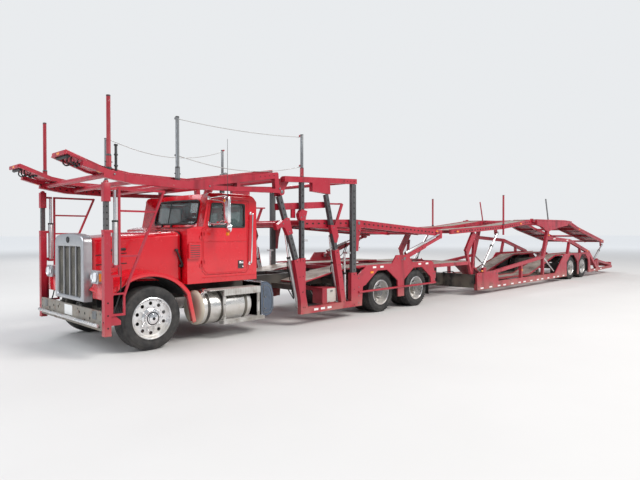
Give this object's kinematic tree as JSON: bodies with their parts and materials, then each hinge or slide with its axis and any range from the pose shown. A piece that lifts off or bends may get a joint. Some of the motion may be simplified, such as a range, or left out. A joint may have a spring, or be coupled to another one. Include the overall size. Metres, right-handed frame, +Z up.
{
  "type": "car transporter truck",
  "caption": "Articulated car transporter: a conventional tractor with a head rack over the cab and a two-level trailer hinged on its rear hitch.",
  "frame": {"origin": "middle of the bounding box at ground level", "axes": "+Z up; the nose points to -X, the driver's side is -Y"},
  "size_m": [22.65, 2.72, 3.55],
  "materials": {
    "cab_red": "gloss paint, weathered",
    "frame_red": "worn paint with chips and rust",
    "frame_black": "satin paint, dusty",
    "tube_grey": "greasy dark paint",
    "steel": "bare and greased",
    "chrome": "polished rods",
    "aluminium": "bright, dusty",
    "bumper_paint": "dull metal",
    "glass": "clear",
    "lamp": "clear lens",
    "plastic": "dark grey",
    "tyre": "worn black rubber"
  },
  "bodies": {
    "tractor": {"chassis": "frame_black", "engine": "frame_black", "front_axle": "frame_black", "drive_axles": "frame_black", "bumper": "bumper_paint", "cab_shell": "cab_red", "cab_glass": "glass", "cab_interior": "plastic", "fuel_tanks": "aluminium", "side_steps": "aluminium", "side_frames": "frame_red", "inner_posts": "tube_grey", "top_rails": "frame_red", "post_cylinders": "steel", "lower_tracks": "frame_red", "toolboxes": "aluminium", "mud_flaps": "plastic", "front_posts": "frame_red"},
    "hood": {"hood": "cab_red", "grille": "cab_red", "headlamps": "lamp"},
    "door_left": {"door_left": "cab_red", "door_glass_left": "glass"},
    "door_right": {"door_right": "cab_red", "door_glass_right": "glass"},
    "knuckle_left": {"knuckle_left": "frame_black"},
    "knuckle_right": {"knuckle_right": "frame_black"},
    "rack": {"head_rack": "frame_red", "rack_tracks": "frame_red", "rack_poles": "steel", "line_left_upper": "steel", "line_left_lower": "steel", "line_right_upper": "steel"},
    "sliding_posts": {"sliding_posts": "frame_red"},
    "rear_deck": {"rear_deck": "frame_red"},
    "lift_arms": {"lift_arms": "frame_red"},
    "lift_sliders": {"lift_sliders": "steel"},
    "trailer": {"trailer_chassis": "frame_red", "trailer_axles": "frame_black", "trailer_sides": "frame_red", "trailer_tracks": "frame_red", "front_platform": "frame_red", "middle_deck": "frame_red"},
    "front_deck": {"front_deck": "frame_red"},
    "front_barrels": {"front_barrels": "steel"},
    "front_rams": {"front_rams": "chrome"},
    "tail_deck": {"tail_deck": "frame_red"},
    "rear_barrels": {"rear_barrels": "steel"},
    "rear_rams": {"rear_rams": "chrome"},
    "tail_ramp": {"tail_ramp": "frame_red"},
    "steer_wheel_left": {"steer_wheel_left": "tyre"},
    "steer_wheel_right": {"steer_wheel_right": "tyre"},
    "drive_wheel_front_left": {"drive_wheel_front_left": "tyre"},
    "drive_wheel_front_right": {"drive_wheel_front_right": "tyre"},
    "drive_wheel_rear_left": {"drive_wheel_rear_left": "tyre"},
    "drive_wheel_rear_right": {"drive_wheel_rear_right": "tyre"},
    "trailer_wheel_front_left": {"trailer_wheel_front_left": "tyre"},
    "trailer_wheel_front_right": {"trailer_wheel_front_right": "tyre"},
    "trailer_wheel_rear_left": {"trailer_wheel_rear_left": "tyre"},
    "trailer_wheel_rear_right": {"trailer_wheel_rear_right": "tyre"}
  },
  "joints": [
    {"name": "steer_left", "type": "hinge", "parent": "tractor", "child": "knuckle_left", "pos_m": [-10.115, -0.84, 0.46], "axis": [0, 0, 1], "range_deg": [-35, 35]},
    {"name": "steer_right", "type": "hinge", "parent": "tractor", "child": "knuckle_right", "pos_m": [-10.115, 0.84, 0.46], "axis": [0, 0, 1], "range_deg": [-35, 35]},
    {"name": "steer_wheel_left_spin", "type": "hinge", "parent": "knuckle_left", "child": "steer_wheel_left", "pos_m": [-10.115, -1.0325, 0.4625], "axis": [0, 1, 0], "continuous": true},
    {"name": "steer_wheel_right_spin", "type": "hinge", "parent": "knuckle_right", "child": "steer_wheel_right", "pos_m": [-10.115, 1.0325, 0.4625], "axis": [0, 1, 0], "continuous": true},
    {"name": "drive_wheel_front_left_spin", "type": "hinge", "parent": "tractor", "child": "drive_wheel_front_left", "pos_m": [-4.855, -0.955, 0.4225], "axis": [0, 1, 0], "continuous": true},
    {"name": "drive_wheel_front_right_spin", "type": "hinge", "parent": "tractor", "child": "drive_wheel_front_right", "pos_m": [-4.855, 0.955, 0.4225], "axis": [0, 1, 0], "continuous": true},
    {"name": "drive_wheel_rear_left_spin", "type": "hinge", "parent": "tractor", "child": "drive_wheel_rear_left", "pos_m": [-3.535, -0.955, 0.4225], "axis": [0, 1, 0], "continuous": true},
    {"name": "drive_wheel_rear_right_spin", "type": "hinge", "parent": "tractor", "child": "drive_wheel_rear_right", "pos_m": [-3.535, 0.955, 0.4225], "axis": [0, 1, 0], "continuous": true},
    {"name": "trailer_pivot", "type": "hinge", "parent": "tractor", "child": "trailer", "pos_m": [-2.065, 0, 0.5], "axis": [0, 0, 1], "range_deg": [-15, 15]},
    {"name": "trailer_wheel_front_left_spin", "type": "hinge", "parent": "trailer", "child": "trailer_wheel_front_left", "pos_m": [6.35, -0.955, 0.4225], "axis": [0, 1, 0], "continuous": true},
    {"name": "trailer_wheel_front_right_spin", "type": "hinge", "parent": "trailer", "child": "trailer_wheel_front_right", "pos_m": [6.35, 0.955, 0.4225], "axis": [0, 1, 0], "continuous": true},
    {"name": "trailer_wheel_rear_left_spin", "type": "hinge", "parent": "trailer", "child": "trailer_wheel_rear_left", "pos_m": [7.561, -0.955, 0.4225], "axis": [0, 1, 0], "continuous": true},
    {"name": "trailer_wheel_rear_right_spin", "type": "hinge", "parent": "trailer", "child": "trailer_wheel_rear_right", "pos_m": [7.561, 0.955, 0.4225], "axis": [0, 1, 0], "continuous": true},
    {"name": "door_left_open", "type": "hinge", "parent": "tractor", "child": "door_left", "pos_m": [-9.189, -1.045, 1.6], "axis": [0, 0, -1], "range_deg": [0, 65]},
    {"name": "door_right_open", "type": "hinge", "parent": "tractor", "child": "door_right", "pos_m": [-9.189, 1.045, 1.6], "axis": [0, 0, 1], "range_deg": [0, 65]},
    {"name": "hood_tilt", "type": "hinge", "parent": "tractor", "child": "hood", "pos_m": [-10.775, 0, 0.64], "axis": [0, -1, 0], "range_deg": [0, 30]},
    {"name": "head_rack_tilt", "type": "hinge", "parent": "tractor", "child": "rack", "pos_m": [-7.735, 0, 2.42], "axis": [0, 1, 0], "range_deg": [0, 8]},
    {"name": "front_post_slide", "type": "slide", "parent": "tractor", "child": "sliding_posts", "axis": [0, 0, 1], "range_m": [0, 0.43]},
    {"name": "rear_deck_tilt", "type": "hinge", "parent": "tractor", "child": "rear_deck", "pos_m": [-5.655, 0, 1.9], "axis": [0, -1, 0], "range_deg": [0, 8]},
    {"name": "lift_arm_swing", "type": "hinge", "parent": "tractor", "child": "lift_arms", "pos_m": [-4.095, 0, 1.12], "axis": [0, -1, 0], "range_deg": [0, 13.2]},
    {"name": "lift_slide", "type": "slide", "parent": "lift_arms", "child": "lift_sliders", "axis": [0.9568, 0, 0.2906], "range_m": [0, 0.188]},
    {"name": "front_deck_tilt", "type": "hinge", "parent": "trailer", "child": "front_deck", "pos_m": [3.085, 0, 2.1], "axis": [0, 1, 0], "range_deg": [0, 8]},
    {"name": "front_barrel_swing", "type": "hinge", "parent": "trailer", "child": "front_barrels", "pos_m": [-0.295, 0, 0.69], "axis": [0, -1, 0], "range_deg": [0, 9.2]},
    {"name": "front_ram_slide", "type": "slide", "parent": "front_barrels", "child": "front_rams", "axis": [0.6925, 0, 0.7214], "range_m": [0, 0.245]},
    {"name": "tail_deck_tilt", "type": "hinge", "parent": "trailer", "child": "tail_deck", "pos_m": [6.335, 0, 2.08], "axis": [0, -1, 0], "range_deg": [0, 8]},
    {"name": "rear_barrel_swing", "type": "hinge", "parent": "trailer", "child": "rear_barrels", "pos_m": [9.005, 0, 0.56], "axis": [0, -1, 0], "range_deg": [0, 14.7]},
    {"name": "rear_ram_slide", "type": "slide", "parent": "rear_barrels", "child": "rear_rams", "axis": [0.8697, 0, 0.4936], "range_m": [0, 0.395]},
    {"name": "tail_ramp_drop", "type": "hinge", "parent": "trailer", "child": "tail_ramp", "pos_m": [9.335, 0, 0.6], "axis": [0, 1, 0], "range_deg": [0, 5]}
  ],
  "couplings": [
    {"joint": "steer_right", "follows": "steer_left", "ratio": 1},
    {"joint": "front_post_slide", "follows": "head_rack_tilt", "m_per_rad": 3.07},
    {"joint": "lift_arm_swing", "follows": "rear_deck_tilt", "ratio": 1.642},
    {"joint": "lift_slide", "follows": "rear_deck_tilt", "m_per_rad": 1.337},
    {"joint": "front_barrel_swing", "follows": "front_deck_tilt", "ratio": 1.148},
    {"joint": "front_ram_slide", "follows": "front_deck_tilt", "m_per_rad": 1.744},
    {"joint": "rear_barrel_swing", "follows": "tail_deck_tilt", "ratio": 1.83},
    {"joint": "rear_ram_slide", "follows": "tail_deck_tilt", "m_per_rad": 2.821}
  ]
}
